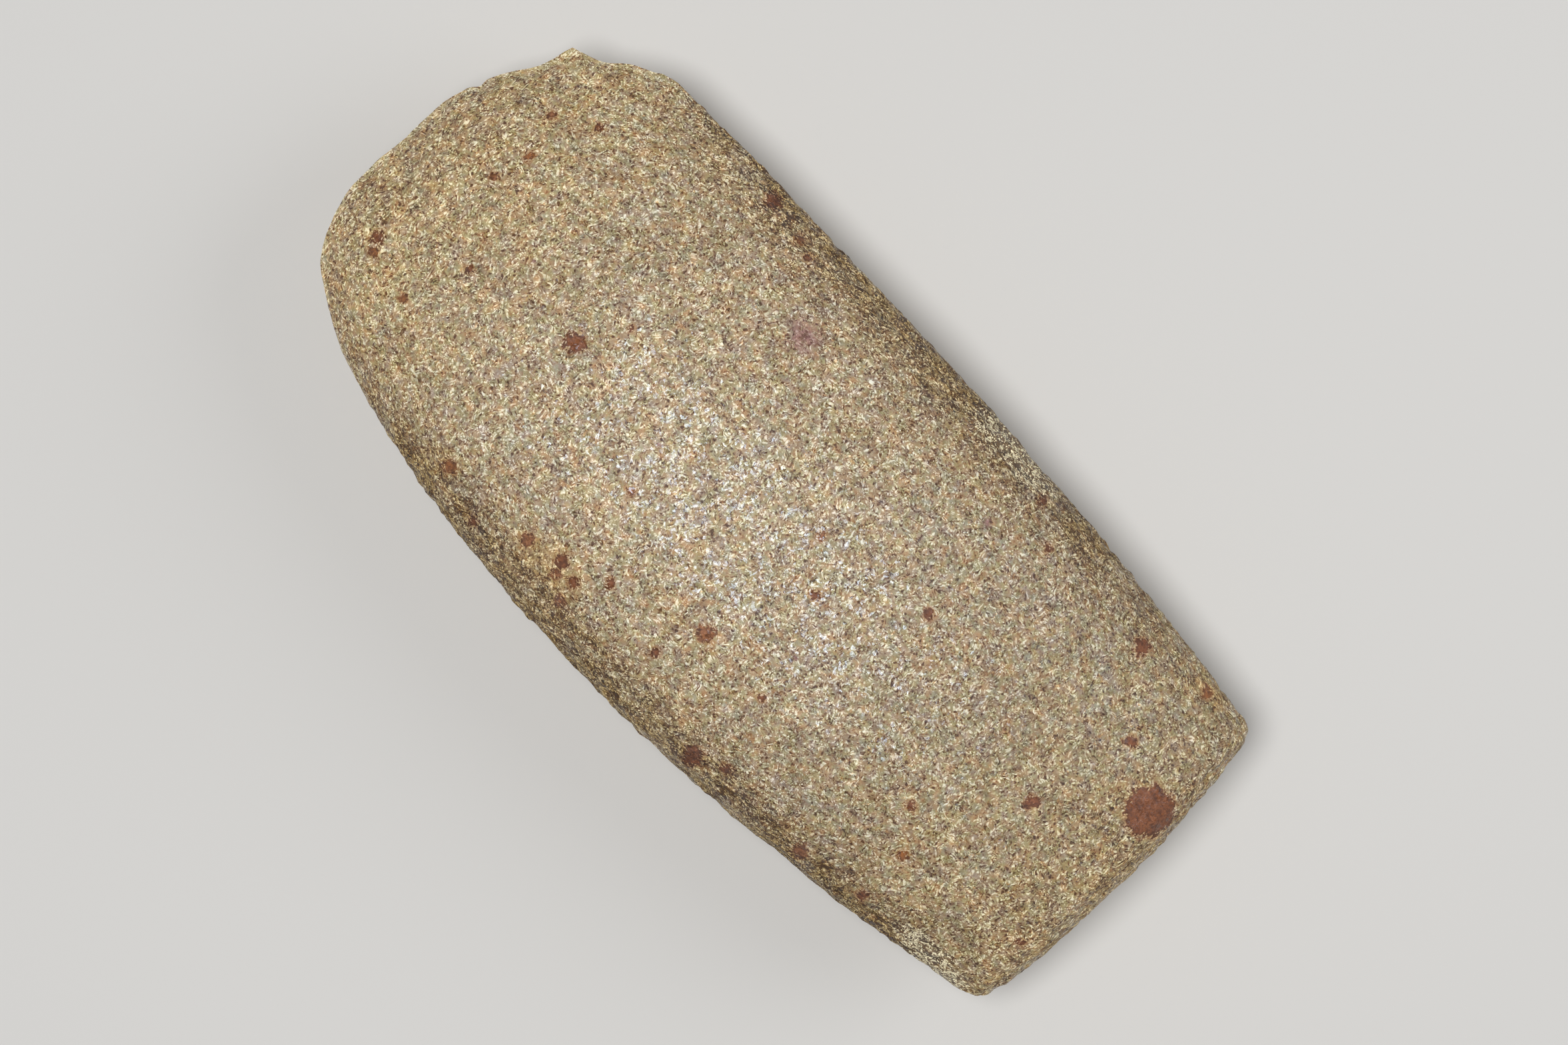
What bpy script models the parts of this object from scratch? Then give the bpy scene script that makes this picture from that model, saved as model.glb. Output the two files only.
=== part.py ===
"""Polished stone axe head.

One piece of speckled brown stone, ground and polished to a lens-like section, with a
bowed cutting edge at one end and a narrower, blunt butt at the other. It lies on one of
its two broad faces. The cutting edge looks along +X, left is +Y and +Z is up. The origin
is in the middle of the footprint, on the surface that the head lies on.
"""

import math
from collections import namedtuple

import bmesh
import bpy
from mathutils import Vector

# Overall size in metres
LENGTH = 0.120
WIDTH = 0.0557
THICKNESS = 0.035

# Cutting edge corners: how far each lies behind the foremost point and inside the full width
EDGE_LEFT_SETBACK = 0.0130
EDGE_LEFT_INSET = 0.0057
EDGE_RIGHT_SETBACK = 0.0151
EDGE_RIGHT_INSET = 0.0007

# Facet ground along the cutting edge: the height it adds and the length over which it fades
FACET_RISE = 0.0030
FACET_LENGTH = 0.0050

# Spur of old edge left standing near the right corner, where the edge beside it has chipped
SPUR_FROM_SIDE = 0.0055
SPUR_WIDTH = 0.0054
SPUR_HEIGHT = 0.0025
SPUR_ROOT = 0.0080

# Butt corners, placed as the edge corners are, and the radius that rounds them
BUTT_LEFT_SETBACK = 0.0015
BUTT_LEFT_INSET = 0.0074
BUTT_RIGHT_SETBACK = 0.0024
BUTT_RIGHT_INSET = 0.0036
BUTT_CORNER_RADIUS = 0.0021

# Butt: its full thickness, and the length over which its rim turns down
BUTT_THICKNESS = 0.0190
BUTT_ROUNDING = 0.0040

# Broad hollows left by grinding: the depth of the deepest, and their spacing along the head
GRINDING_DEPTH = 0.0004
GRINDING_SPACING = 0.027

# Flat spot under the belly, which keeps the head from rolling
REST_FLAT_DEPTH = 0.00045

# Fullness of the section: 2 is an ellipse, and the left side is flatter with a tighter turn
SECTION_POWER = 2.16
SECTION_SKEW = 0.14

# Rows of faces along the head, and columns across it
ROUNDING_ROWS = 6
BODY_ROWS = 48
FACET_ROWS = 6
COLUMNS = 40

STONE_COLOUR = (0.394, 0.316, 0.205, 1.0)
STONE_ROUGHNESS = 0.42
SMOOTH_ANGLE = math.radians(40)
MERGE_DISTANCE = 0.00002

# A corner of the outline: its place, the fullness of the two curves that meet there, its radius
Corner = namedtuple("Corner", "setback inset side_power end_power radius")

EDGE_LEFT = Corner(EDGE_LEFT_SETBACK, EDGE_LEFT_INSET, 2.6, 4.0, 0.0)
EDGE_RIGHT = Corner(EDGE_RIGHT_SETBACK, EDGE_RIGHT_INSET, 6.0, 2.45, 0.0)
BUTT_LEFT = Corner(BUTT_LEFT_SETBACK, BUTT_LEFT_INSET, 1.75, 3.0, BUTT_CORNER_RADIUS)
BUTT_RIGHT = Corner(BUTT_RIGHT_SETBACK, BUTT_RIGHT_INSET, 1.9, 1.8, BUTT_CORNER_RADIUS)


def clear_scene():
    """Remove every object that the scene starts with."""
    for thing in list(bpy.data.objects):
        bpy.data.objects.remove(thing, do_unlink=True)


def collection(name):
    """Add a collection to the scene."""
    group = bpy.data.collections.new(name)
    bpy.context.scene.collection.children.link(group)
    return group


def drawn_in(distance, radius):
    """How far an outline draws in at a distance from a corner of this radius."""
    inside = min(max(radius - distance, 0.0), radius)
    return radius - math.sqrt(radius**2 - inside**2)


def side_offset(x, corner):
    """Distance from the middle line to a side at x, on the half that ends at this corner."""
    reach = LENGTH / 2 - corner.setback
    share = min(abs(x) / reach, 1.0)
    sweep = WIDTH / 2 - corner.inset * share**corner.side_power
    return sweep - drawn_in(reach - abs(x), corner.radius)


def end_offset(y, corner):
    """Distance from mid length to an end at y, on the half that ends at this corner."""
    reach = WIDTH / 2 - corner.inset
    share = min(abs(y) / reach, 1.0)
    sweep = LENGTH / 2 - corner.setback * share**corner.end_power
    return sweep - drawn_in(reach - abs(y), corner.radius)


def corner_point(corner, x_sign, y_sign):
    """Middle of a corner's rounding, where a side and an end of the outline meet."""
    cut = corner.radius * (1 - math.sqrt(0.5))
    x = LENGTH / 2 - corner.setback - cut
    y = WIDTH / 2 - corner.inset - cut
    return Vector((x_sign * x, y_sign * y))


def side_point(along, butt, edge, y_sign):
    """Point of one side, from its butt corner at 0 to its edge corner at 1."""
    start = corner_point(butt, -1, y_sign)
    finish = corner_point(edge, 1, y_sign)
    x = start.x + (finish.x - start.x) * along
    corner = edge if x > 0 else butt
    return Vector((x, y_sign * side_offset(x, corner)))


def end_point(across, left, right, x_sign):
    """Point of one end, from its right corner at 0 to its left corner at 1."""
    start = corner_point(right, x_sign, -1)
    finish = corner_point(left, x_sign, 1)
    y = start.y + (finish.y - start.y) * across
    corner = left if y > 0 else right
    return Vector((x_sign * end_offset(y, corner), y))


def plan_point(along, across):
    """Blend the two sides and the two ends into one patch; both shares run from 0 to 1."""
    right = side_point(along, BUTT_RIGHT, EDGE_RIGHT, -1)
    left = side_point(along, BUTT_LEFT, EDGE_LEFT, 1)
    butt = end_point(across, BUTT_LEFT, BUTT_RIGHT, -1)
    edge = end_point(across, EDGE_LEFT, EDGE_RIGHT, 1)
    butt_chord = corner_point(BUTT_RIGHT, -1, -1).lerp(corner_point(BUTT_LEFT, -1, 1), across)
    edge_chord = corner_point(EDGE_RIGHT, 1, -1).lerp(corner_point(EDGE_LEFT, 1, 1), across)
    return right.lerp(left, across) + butt.lerp(edge, along) - butt_chord.lerp(edge_chord, along)


def spur(along, y):
    """How far the spur carries a point forward: gentle on its inner flank, steep outside."""
    inward = y + WIDTH / 2 - SPUR_FROM_SIDE
    root = 1 - SPUR_ROOT / LENGTH
    if not 0 < inward < SPUR_WIDTH or along < root:
        return 0.0
    swell = math.cos(math.pi / 2 * inward / SPUR_WIDTH) ** 2
    return SPUR_HEIGHT * swell * ((along - root) / (1 - root)) ** 2


def half_height(along):
    """Half of the thickness of the middle line at a share of the length from the butt."""
    full = (THICKNESS + REST_FLAT_DEPTH) / 2
    share = abs(2 * along - 1)
    if along > 0.5:
        ahead = LENGTH * (1 - along)
        facet = FACET_RISE * (1 - math.exp(-ahead / FACET_LENGTH))
        return (full - FACET_RISE) * (1 - share**2) + facet
    height = full - (full - BUTT_THICKNESS / 2) * share**2
    behind = LENGTH * along
    if behind < BUTT_ROUNDING:
        height *= math.sqrt(1 - (1 - behind / BUTT_ROUNDING) ** 2)
    return height


def section(side):
    """Share of the middle line's height at a share from -1, the right side, to 1, the left."""
    power = SECTION_POWER + SECTION_SKEW * side
    return (1 - abs(side) ** power) ** (1 / power)


def grinding_hollow(x, y):
    """Depth of the broad, uneven hollows of a face that was ground by hand."""
    turn = 2 * math.pi / GRINDING_SPACING
    along = math.cos(turn * x + 0.8 * math.sin(0.37 * turn * x))
    skewed = math.cos(turn * (0.43 * x + 0.71 * y))
    return GRINDING_DEPTH * (2 - along - skewed) / 4


def row_places():
    """Places of the rows, as shares of the length: close at the butt's rim and at the edge."""
    rounding = BUTT_ROUNDING / LENGTH
    facet = 2 * FACET_LENGTH / LENGTH
    places = [0.0]
    for step in range(1, ROUNDING_ROWS + 1):
        places.append(rounding * (1 - math.cos(math.pi / 2 * step / ROUNDING_ROWS)))
    for step in range(1, BODY_ROWS + 1):
        places.append(rounding + (1 - facet - rounding) * step / BODY_ROWS)
    for step in range(1, FACET_ROWS + 1):
        places.append(1 - facet + facet * step / FACET_ROWS)
    return places


def upper_half():
    """Upper half of the head, open along its outline, ready to be mirrored."""
    places = row_places()
    row_count = len(places) - 1
    form = bmesh.new()
    bmesh.ops.create_grid(form, x_segments=row_count, y_segments=COLUMNS, size=0.5)
    for vert in form.verts:
        along = places[round((vert.co.x + 0.5) * row_count)]
        side = math.sin(math.pi * vert.co.y)
        point = plan_point(along, (1 + side) / 2)
        height = half_height(along) * section(side)
        hollow = grinding_hollow(point.x, point.y) * height / THICKNESS
        vert.co = (point.x + spur(along, point.y), point.y, height - hollow)
    return form


def rest_flat_cutter(group):
    """Block whose top is the surface that the head rests on."""
    bpy.ops.mesh.primitive_cube_add(size=1)
    block = bpy.context.object
    block.name = "rest_flat_cutter"
    block.scale = (LENGTH, WIDTH, THICKNESS)
    block.location = (0, 0, -THICKNESS / 2)
    block.hide_render = True
    block.display_type = "WIRE"
    for owner in list(block.users_collection):
        owner.objects.unlink(block)
    group.objects.link(block)
    return block


def stone_material():
    """Speckled brown stone, seen from afar as one warm buff."""
    material = bpy.data.materials.new("stone")
    material.use_nodes = True
    shader = material.node_tree.nodes["Principled BSDF"]
    shader.inputs["Base Color"].default_value = STONE_COLOUR
    shader.inputs["Roughness"].default_value = STONE_ROUGHNESS
    shader.inputs["Metallic"].default_value = 0.0
    return material


def axe_head(parts, cutters):
    """The head: a mirrored half, lowered until its belly can be cut flat at the floor."""
    form = upper_half()
    mesh = bpy.data.meshes.new("axe_head")
    form.to_mesh(mesh)
    form.free()
    mesh.shade_smooth()
    mesh.set_sharp_from_angle(angle=SMOOTH_ANGLE)
    mesh.materials.append(stone_material())
    head = bpy.data.objects.new("axe_head", mesh)
    parts.objects.link(head)
    head.location.z = (THICKNESS - REST_FLAT_DEPTH) / 2
    mirror = head.modifiers.new("lower_half", "MIRROR")
    mirror.use_axis = (False, False, True)
    mirror.merge_threshold = MERGE_DISTANCE
    cut = head.modifiers.new("rest_flat", "BOOLEAN")
    cut.operation = "DIFFERENCE"
    cut.solver = "EXACT"
    cut.object = rest_flat_cutter(cutters)
    return head


def main():
    """Build the axe head and its cutter."""
    clear_scene()
    axe_head(collection("polished_stone_axe"), collection("cutters"))


main()
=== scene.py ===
"""Dress of the polished stone axe head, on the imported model's frame.

The head lies on its belly with the cutting edge along +X. Its solid is refined into a fine
mesh with pecked flanks and a nicked edge, and dressed as weathered dolerite: pale laths in
an ochre ground, with dark flecks, rust grains and a few chalky scuffs.
"""

import logging
import math
from dataclasses import dataclass, field
from enum import Enum

import bmesh
import bpy
import numpy as np
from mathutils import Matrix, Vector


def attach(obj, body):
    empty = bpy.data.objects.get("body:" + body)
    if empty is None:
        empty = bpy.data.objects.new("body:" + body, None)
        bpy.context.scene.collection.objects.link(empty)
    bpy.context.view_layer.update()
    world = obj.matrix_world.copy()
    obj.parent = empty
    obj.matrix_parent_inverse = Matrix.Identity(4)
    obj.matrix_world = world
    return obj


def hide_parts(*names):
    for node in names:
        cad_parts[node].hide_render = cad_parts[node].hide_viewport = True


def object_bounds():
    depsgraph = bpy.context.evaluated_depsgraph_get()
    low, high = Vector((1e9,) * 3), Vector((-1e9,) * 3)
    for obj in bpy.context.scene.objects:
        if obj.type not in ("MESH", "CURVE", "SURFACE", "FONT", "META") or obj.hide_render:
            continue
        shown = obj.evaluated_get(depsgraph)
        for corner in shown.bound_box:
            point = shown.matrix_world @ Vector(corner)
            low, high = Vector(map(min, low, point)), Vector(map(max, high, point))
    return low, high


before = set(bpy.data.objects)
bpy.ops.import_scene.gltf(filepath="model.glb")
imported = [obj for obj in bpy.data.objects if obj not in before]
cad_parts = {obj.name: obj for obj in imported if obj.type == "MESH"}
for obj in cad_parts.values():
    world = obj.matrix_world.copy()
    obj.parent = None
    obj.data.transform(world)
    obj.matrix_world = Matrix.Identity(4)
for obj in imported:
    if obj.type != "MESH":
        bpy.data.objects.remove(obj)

CAD_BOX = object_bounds()
LOG = logging.getLogger("stone_axe")
MM = 0.001
MIDDLE = 0.5
WHITE = (1.0, 1.0, 1.0)
SCATTER_SHIFT = 61.0
X, Y, Z = range(3)

Colour = tuple[float, float, float]
Stops = tuple[tuple[float, Colour], ...]


class Trace(Enum):
    """Marks kept on the stone's points for its finish to read."""

    PECKED = "pecked"
    RUST = "rust"
    RUST_SIZE = "rust_size"
    CHALK = "chalk"
    STAIN = "stain"


class Tone(Enum):
    """Hue of a rust grain, as a place on the finish's rust ramp."""

    MAROON = 0.0
    PLUM = 0.33
    RUST = 0.66
    ORANGE = 1.0


@dataclass(frozen=True)
class Grain:
    """A rust grain in the stone: its place on the upper face and its radius, in mm."""

    x: float
    y: float
    radius: float
    tone: Tone = Tone.MAROON


@dataclass(frozen=True)
class Wear:
    """A place where the rim is worn in, or stands proud if the depth is below zero.

    Attributes:
        x, y: Middle of the place, in mm.
        reach: How far around the middle the wear goes, in mm.
        depth: How far the middle is drawn in, in mm.
        heading: Way out of the stone there, in degrees from the cutting edge's way.
    """

    x: float
    y: float
    reach: float
    depth: float
    heading: float = 0.0


@dataclass(frozen=True)
class Patch:
    """A chalky or stained patch: its middle on the upper face, its reach along and across, in mm."""

    x: float
    y: float
    along: float
    across: float


class Wire:
    """A node's output that can stand in a Python expression of values."""

    def __init__(self, bench: "Bench", socket: bpy.types.NodeSocket) -> None:
        """Keep the socket and the bench that adds nodes to its tree."""
        self.bench = bench
        self.socket = socket

    def __add__(self, other: "Wire | float") -> "Wire":
        """Sum of two values."""
        return self.bench.math("ADD", self, other)

    def __radd__(self, other: float) -> "Wire":
        """Sum with a number on the left."""
        return self.bench.math("ADD", other, self)

    def __sub__(self, other: "Wire | float") -> "Wire":
        """Difference of two values."""
        return self.bench.math("SUBTRACT", self, other)

    def __rsub__(self, other: float) -> "Wire":
        """Difference from a number on the left."""
        return self.bench.math("SUBTRACT", other, self)

    def __mul__(self, other: "Wire | float") -> "Wire":
        """Product of two values."""
        return self.bench.math("MULTIPLY", self, other)

    def __rmul__(self, other: float) -> "Wire":
        """Product with a number on the left."""
        return self.bench.math("MULTIPLY", other, self)

    def __truediv__(self, other: "Wire | float") -> "Wire":
        """Quotient of two values."""
        return self.bench.math("DIVIDE", self, other)

    def __rtruediv__(self, other: float) -> "Wire":
        """Quotient with a number above."""
        return self.bench.math("DIVIDE", other, self)


@dataclass(frozen=True)
class Cloud:
    """A cloudy noise.

    Attributes:
        scale: Lumps to a mm.
        detail: How many finer layers lie on it.
        roughness: How strong the finer layers are.
    """

    scale: Wire | float
    detail: float = 2.0
    roughness: float = 0.5


@dataclass(frozen=True)
class Span:
    """A smooth step, from start to finish as a value goes from low to high."""

    low: float
    high: float
    start: float = 0.0
    finish: float = 1.0


class Bench:
    """Adds nodes to one node tree, of a material or of geometry."""

    def __init__(self, tree: bpy.types.NodeTree) -> None:
        """Start from an empty tree."""
        self.tree = tree
        tree.nodes.clear()

    def node(self, kind: str, settings: dict | None = None, sockets: dict | None = None) -> bpy.types.Node:
        """Add one node.

        Args:
            kind: The node's type name.
            settings: Its properties, set first; "stops" fills a colour ramp.
            sockets: Values, colours or wires for its inputs, by name or identifier.

        Returns:
            The new node.
        """
        made = self.tree.nodes.new(kind)
        for name, value in (settings or {}).items():
            if name == "stops":
                self._fill_ramp(made.color_ramp, value)
            else:
                setattr(made, name, value)
        for name, value in (sockets or {}).items():
            self._feed(self._input(made, name), value)
        return made

    def wire(self, node: bpy.types.Node, output: str | int = 0) -> Wire:
        """One output of a node, ready for expressions."""
        return Wire(self, node.outputs[output])

    def math(self, operation: str, *terms: Wire | float) -> Wire:
        """A value worked out by one Math node."""
        made = self.node("ShaderNodeMath", {"operation": operation}, dict(enumerate(terms)))
        return self.wire(made)

    def vector(self, operation: str, *terms: Wire | Colour, scale: Wire | float | None = None) -> Wire:
        """Work out a vector, or the length of one, by one Vector Math node.

        Args:
            operation: The node's operation.
            terms: The vectors that it takes.
            scale: The number that it takes, where it scales.

        Returns:
            The vector or the length.
        """
        sockets = dict(enumerate(terms))
        if scale is not None:
            sockets["Scale"] = scale
        made = self.node("ShaderNodeVectorMath", {"operation": operation}, sockets)
        return self.wire(made, "Value" if operation == "LENGTH" else "Vector")

    def part(self, whole: Wire, index: int) -> Wire:
        """One of the three parts of a vector or of a colour."""
        return self.wire(self.node("ShaderNodeSeparateXYZ", {}, {"Vector": whole}), index)

    def ease(self, value: Wire, span: Span) -> Wire:
        """Carry a value smoothly through a span.

        Args:
            value: The value that runs from the span's low to its high.
            span: Where the step begins and ends, and what it gives there.

        Returns:
            The eased value.
        """
        sockets = {"Value": value, "From Min": span.low, "From Max": span.high}
        sockets |= {"To Min": span.start, "To Max": span.finish}
        return self.wire(self.node("ShaderNodeMapRange", {"interpolation_type": "SMOOTHSTEP"}, sockets))

    def blend(self, under: Wire | Colour, over: Wire | Colour, share: Wire) -> Wire:
        """Lay one colour over another.

        Args:
            under: The colour below.
            over: The colour above.
            share: How much the colour above covers, from 0 to 1.

        Returns:
            The blended colour.
        """
        sockets = {"Factor_Float": share, "A_Color": under, "B_Color": over}
        made = self.node("ShaderNodeMix", {"data_type": "RGBA", "blend_type": "MIX"}, sockets)
        return Wire(self, self._output(made, "Result_Color"))

    def noise(self, place: Wire, cloud: Cloud) -> Wire:
        """A cloudy value from 0 to 1, about the middle on average."""
        return self.wire(self._cloud(place, cloud))

    def noises(self, place: Wire, cloud: Cloud) -> Wire:
        """Three unlike cloudy values at once, as a vector."""
        return self.wire(self._cloud(place, cloud), "Color")

    def swing(self, place: Wire, cloud: Cloud, reach: float) -> Wire:
        """A cloudy value about 0, up to half its reach either way."""
        return (self.noise(place, cloud) - MIDDLE) * reach

    def cells(self, place: Wire) -> tuple[Wire, Wire]:
        """A random colour for each cell, a unit wide, and the distance from its middle."""
        made = self.node("ShaderNodeTexVoronoi", {"feature": "F1"}, {"Vector": place, "Scale": 1.0})
        return self.wire(made, "Color"), self.wire(made, "Distance")

    def scatter(self, place: Wire, spacing: float) -> Wire:
        """Scatter cells through the stone.

        Args:
            place: Place in mm.
            spacing: Mean distance between cells, in mm; it also sets this scatter apart from the others.

        Returns:
            A random colour for each cell, which also serves as a vector.
        """
        shift = SCATTER_SHIFT * spacing
        scaled = self.vector("SCALE", place, scale=1 / spacing)
        colour, _ = self.cells(self.vector("ADD", scaled, (shift, shift / 2, shift / 3)))
        return colour

    def ramp(self, value: Wire, stops: Stops) -> Wire:
        """A colour picked from a ramp."""
        return self.wire(self.node("ShaderNodeValToRGB", {"stops": stops}, {"Fac": value}), "Color")

    def mark(self, trace: Trace, output: str = "Fac") -> Wire:
        """One of the marks kept on the stone's points."""
        return self.wire(self.node("ShaderNodeAttribute", {"attribute_name": trace.value}), output)

    def surface(self, sockets: dict) -> None:
        """End the tree in a plain physical surface with these inputs."""
        shader = self.node("ShaderNodeBsdfPrincipled", {}, sockets)
        self.node("ShaderNodeOutputMaterial", {}, {"Surface": shader.outputs["BSDF"]})

    def _cloud(self, place: Wire, cloud: Cloud) -> bpy.types.Node:
        """Add the node that gives a cloud.

        Args:
            place: Where the cloud is read.
            cloud: How fine and how rough it is.

        Returns:
            The node.
        """
        sockets = {"Vector": place, "Scale": cloud.scale}
        sockets |= {"Detail": cloud.detail, "Roughness": cloud.roughness}
        return self.node("ShaderNodeTexNoise", {"noise_dimensions": "3D"}, sockets)

    @staticmethod
    def _fill_ramp(ramp: bpy.types.ColorRamp, stops: Stops) -> None:
        """Set a ramp's stops.

        Args:
            ramp: The ramp of a new node, which has two stops.
            stops: Places from 0 to 1 with their colours.
        """
        while len(ramp.elements) < len(stops):
            ramp.elements.new(1.0)
        for element, (place, colour) in zip(ramp.elements, stops):
            element.position = place
            element.color = (*colour, 1.0)

    @staticmethod
    def _input(node: bpy.types.Node, name: str | int) -> bpy.types.NodeSocket:
        """Find an input of a node.

        Args:
            node: The node.
            name: The input's place, identifier or name.

        Returns:
            The input.
        """
        if isinstance(name, int):
            return node.inputs[name]
        for socket in node.inputs:
            if socket.identifier == name:
                return socket
        return node.inputs[name]

    @staticmethod
    def _output(node: bpy.types.Node, identifier: str) -> bpy.types.NodeSocket:
        """An output by its identifier."""
        return next(socket for socket in node.outputs if socket.identifier == identifier)

    def _feed(self, socket: bpy.types.NodeSocket, value: object) -> None:
        """Link a wire to an input, or set the input's own value.

        Args:
            socket: The input.
            value: A wire, another node's output, or a plain value, colour or material.
        """
        if isinstance(value, Wire):
            self.tree.links.new(value.socket, socket)
        elif isinstance(value, bpy.types.NodeSocket):
            self.tree.links.new(value, socket)
        elif socket.type == "RGBA" and len(value) == 3:
            socket.default_value = (*value, 1.0)
        else:
            socket.default_value = value


@dataclass(frozen=True)
class Growth:
    """One growth of crystals cut across. Sizes are in mm.

    Attributes:
        bundle: Size of a bundle, in which all crystals lie one way.
        length, width: Size of a crystal.
        pale, dark: Shares of the crystals that are paler and darker than the ground.
        lift, drop: How much paler and darker they are at most.
    """

    bundle: float
    length: float
    width: float
    pale: float
    dark: float
    lift: float
    drop: float


@dataclass(frozen=True)
class Spot:
    """What every layer of the stone's finish reads at a spot of its skin.

    Attributes:
        place: Place in mm.
        wavy: The same, swayed, which bends the crystals.
        moved: The same, moved far off, which sets the clouds of hue apart from those of tone.
        speck: Fine cloud of hues and of glinting crystals.
        crowd: Cloud that gathers the dark specks.
        pecked: How roughly pecked the skin is, from 0 to 1.
    """

    place: Wire
    wavy: Wire
    moved: Wire
    speck: Wire
    crowd: Wire
    pecked: Wire


@dataclass(frozen=True)
class Crystals:
    """Crystals of several growths, bent a little every way. Lengths are in mm."""

    growths: tuple[Growth, ...] = (
        Growth(1.0, 0.80, 0.20, 0.45, 0.30, 0.44, 0.33),
        Growth(1.5, 1.25, 0.235, 0.30, 0.14, 0.48, 0.33),
        Growth(2.0, 0.55, 0.34, 0.12, 0.14, 0.40, 0.44),
    )
    body: Span = Span(0.30, 0.66, 1.0, 0.0)
    full_share: float = 0.35
    sway_cloud: Cloud = Cloud(1.1, 1.0)
    sway: float = 0.65

    def swayed(self, bench: Bench, place: Wire) -> Wire:
        """Places swayed a little every way."""
        away = bench.vector("SUBTRACT", bench.noises(place, self.sway_cloud), (MIDDLE, MIDDLE, MIDDLE))
        return bench.vector("ADD", place, bench.vector("SCALE", away, scale=self.sway))

    def lift(self, bench: Bench, wavy: Wire, growth: Growth) -> Wire:
        """Work out how much one growth lifts or drops the tone.

        Args:
            bench: Where the nodes go.
            wavy: Swayed place in mm.
            growth: The growth.

        Returns:
            What is added to the tone.
        """
        turn = bench.vector("SCALE", bench.scatter(wavy, growth.bundle), scale=math.tau)
        sockets = {"Vector": wavy, "Rotation": turn}
        turned = bench.wire(bench.node("ShaderNodeVectorRotate", {"rotation_type": "EULER_XYZ"}, sockets))
        packing = (1 / growth.length, 1 / growth.width, 1 / growth.width)
        colour, distance = bench.cells(bench.vector("MULTIPLY", turned, packing))
        lot = bench.part(colour, X)
        palest = 1.0 - growth.pale * self.full_share
        paler = bench.ease(lot, Span(1.0 - growth.pale, palest, 0.0, growth.lift))
        darker = bench.ease(lot, Span(growth.dark, growth.dark * self.full_share, 0.0, growth.drop))
        return bench.ease(distance, self.body) * (paler - darker)


@dataclass(frozen=True)
class StoneTone:
    """How dark or pale the stone is: crystals, grit, specks, a painted highlight along the rim, and pecked
    crevice darkening that is partly painted shade, in mm.
    """

    crystals: Crystals = Crystals()
    base: float = 0.47
    grit: Cloud = Cloud(2.6)
    grit_reach: float = 0.4
    specks: Cloud = Cloud(4.2, 2.0, 0.6)
    speck_span: Span = Span(0.47, 0.60)
    speck_crowd: Span = Span(0.48, 0.62, 0.1, 1.0)
    speck_depth: float = 0.30
    # Painted highlight: a pale line at the rim's middle height, growing towards the cutting edge.
    rim_height: float = 17.5
    painted_rim_highlight: Span = Span(0.1, 0.6, 0.14, 0.0)
    rim_highlight_ahead: Span = Span(30.0, 48.0)
    # Pecked skin: darker in a crevice pattern and of stronger contrast, partly its own dark grit and partly
    # painted shade and light of its grazed relief.
    crevices_and_shade: Cloud = Cloud(1.2, 3.0, 0.7)
    crevice_span: Span = Span(0.48, 0.60)
    crevice_depth: float = 0.46
    patches: Cloud = Cloud(0.42)
    patch_reach: float = 0.6
    pecked_contrast: float = 1.0

    def level(self, bench: Bench, spot: Spot) -> Wire:
        """Work out the tone.

        Args:
            bench: Where the nodes go.
            spot: What is read of the skin.

        Returns:
            A place on the stone's tones, from 0 to 1.
        """
        tone = self.base + bench.swing(spot.place, self.grit, self.grit_reach)
        for growth in self.crystals.growths:
            tone = tone + self.crystals.lift(bench, spot.wavy, growth)
        specks = bench.ease(bench.noise(spot.place, self.specks), self.speck_span)
        tone = tone - bench.ease(spot.crowd, self.speck_crowd) * specks * self.speck_depth
        # Painted highlight along the rim's middle height, towards the cutting edge, where its bevel would
        # catch the light.
        from_rim = bench.math("ABSOLUTE", bench.part(spot.place, Z) - self.rim_height)
        ahead = bench.ease(bench.part(spot.place, X), self.rim_highlight_ahead)
        tone = tone + bench.ease(from_rim, self.painted_rim_highlight) * ahead
        # Partly dark grit in the pecked skin, partly painted shade of its relief; the contrast is raised
        # there for the same painted light and shade.
        patches = bench.swing(spot.place, self.patches, self.patch_reach)
        crevices_and_shade = bench.ease(bench.noise(spot.place, self.crevices_and_shade) + patches, self.crevice_span)
        contrast = 1.0 + self.pecked_contrast * spot.pecked
        return MIDDLE + (tone - MIDDLE) * contrast - crevices_and_shade * spot.pecked * self.crevice_depth


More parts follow.
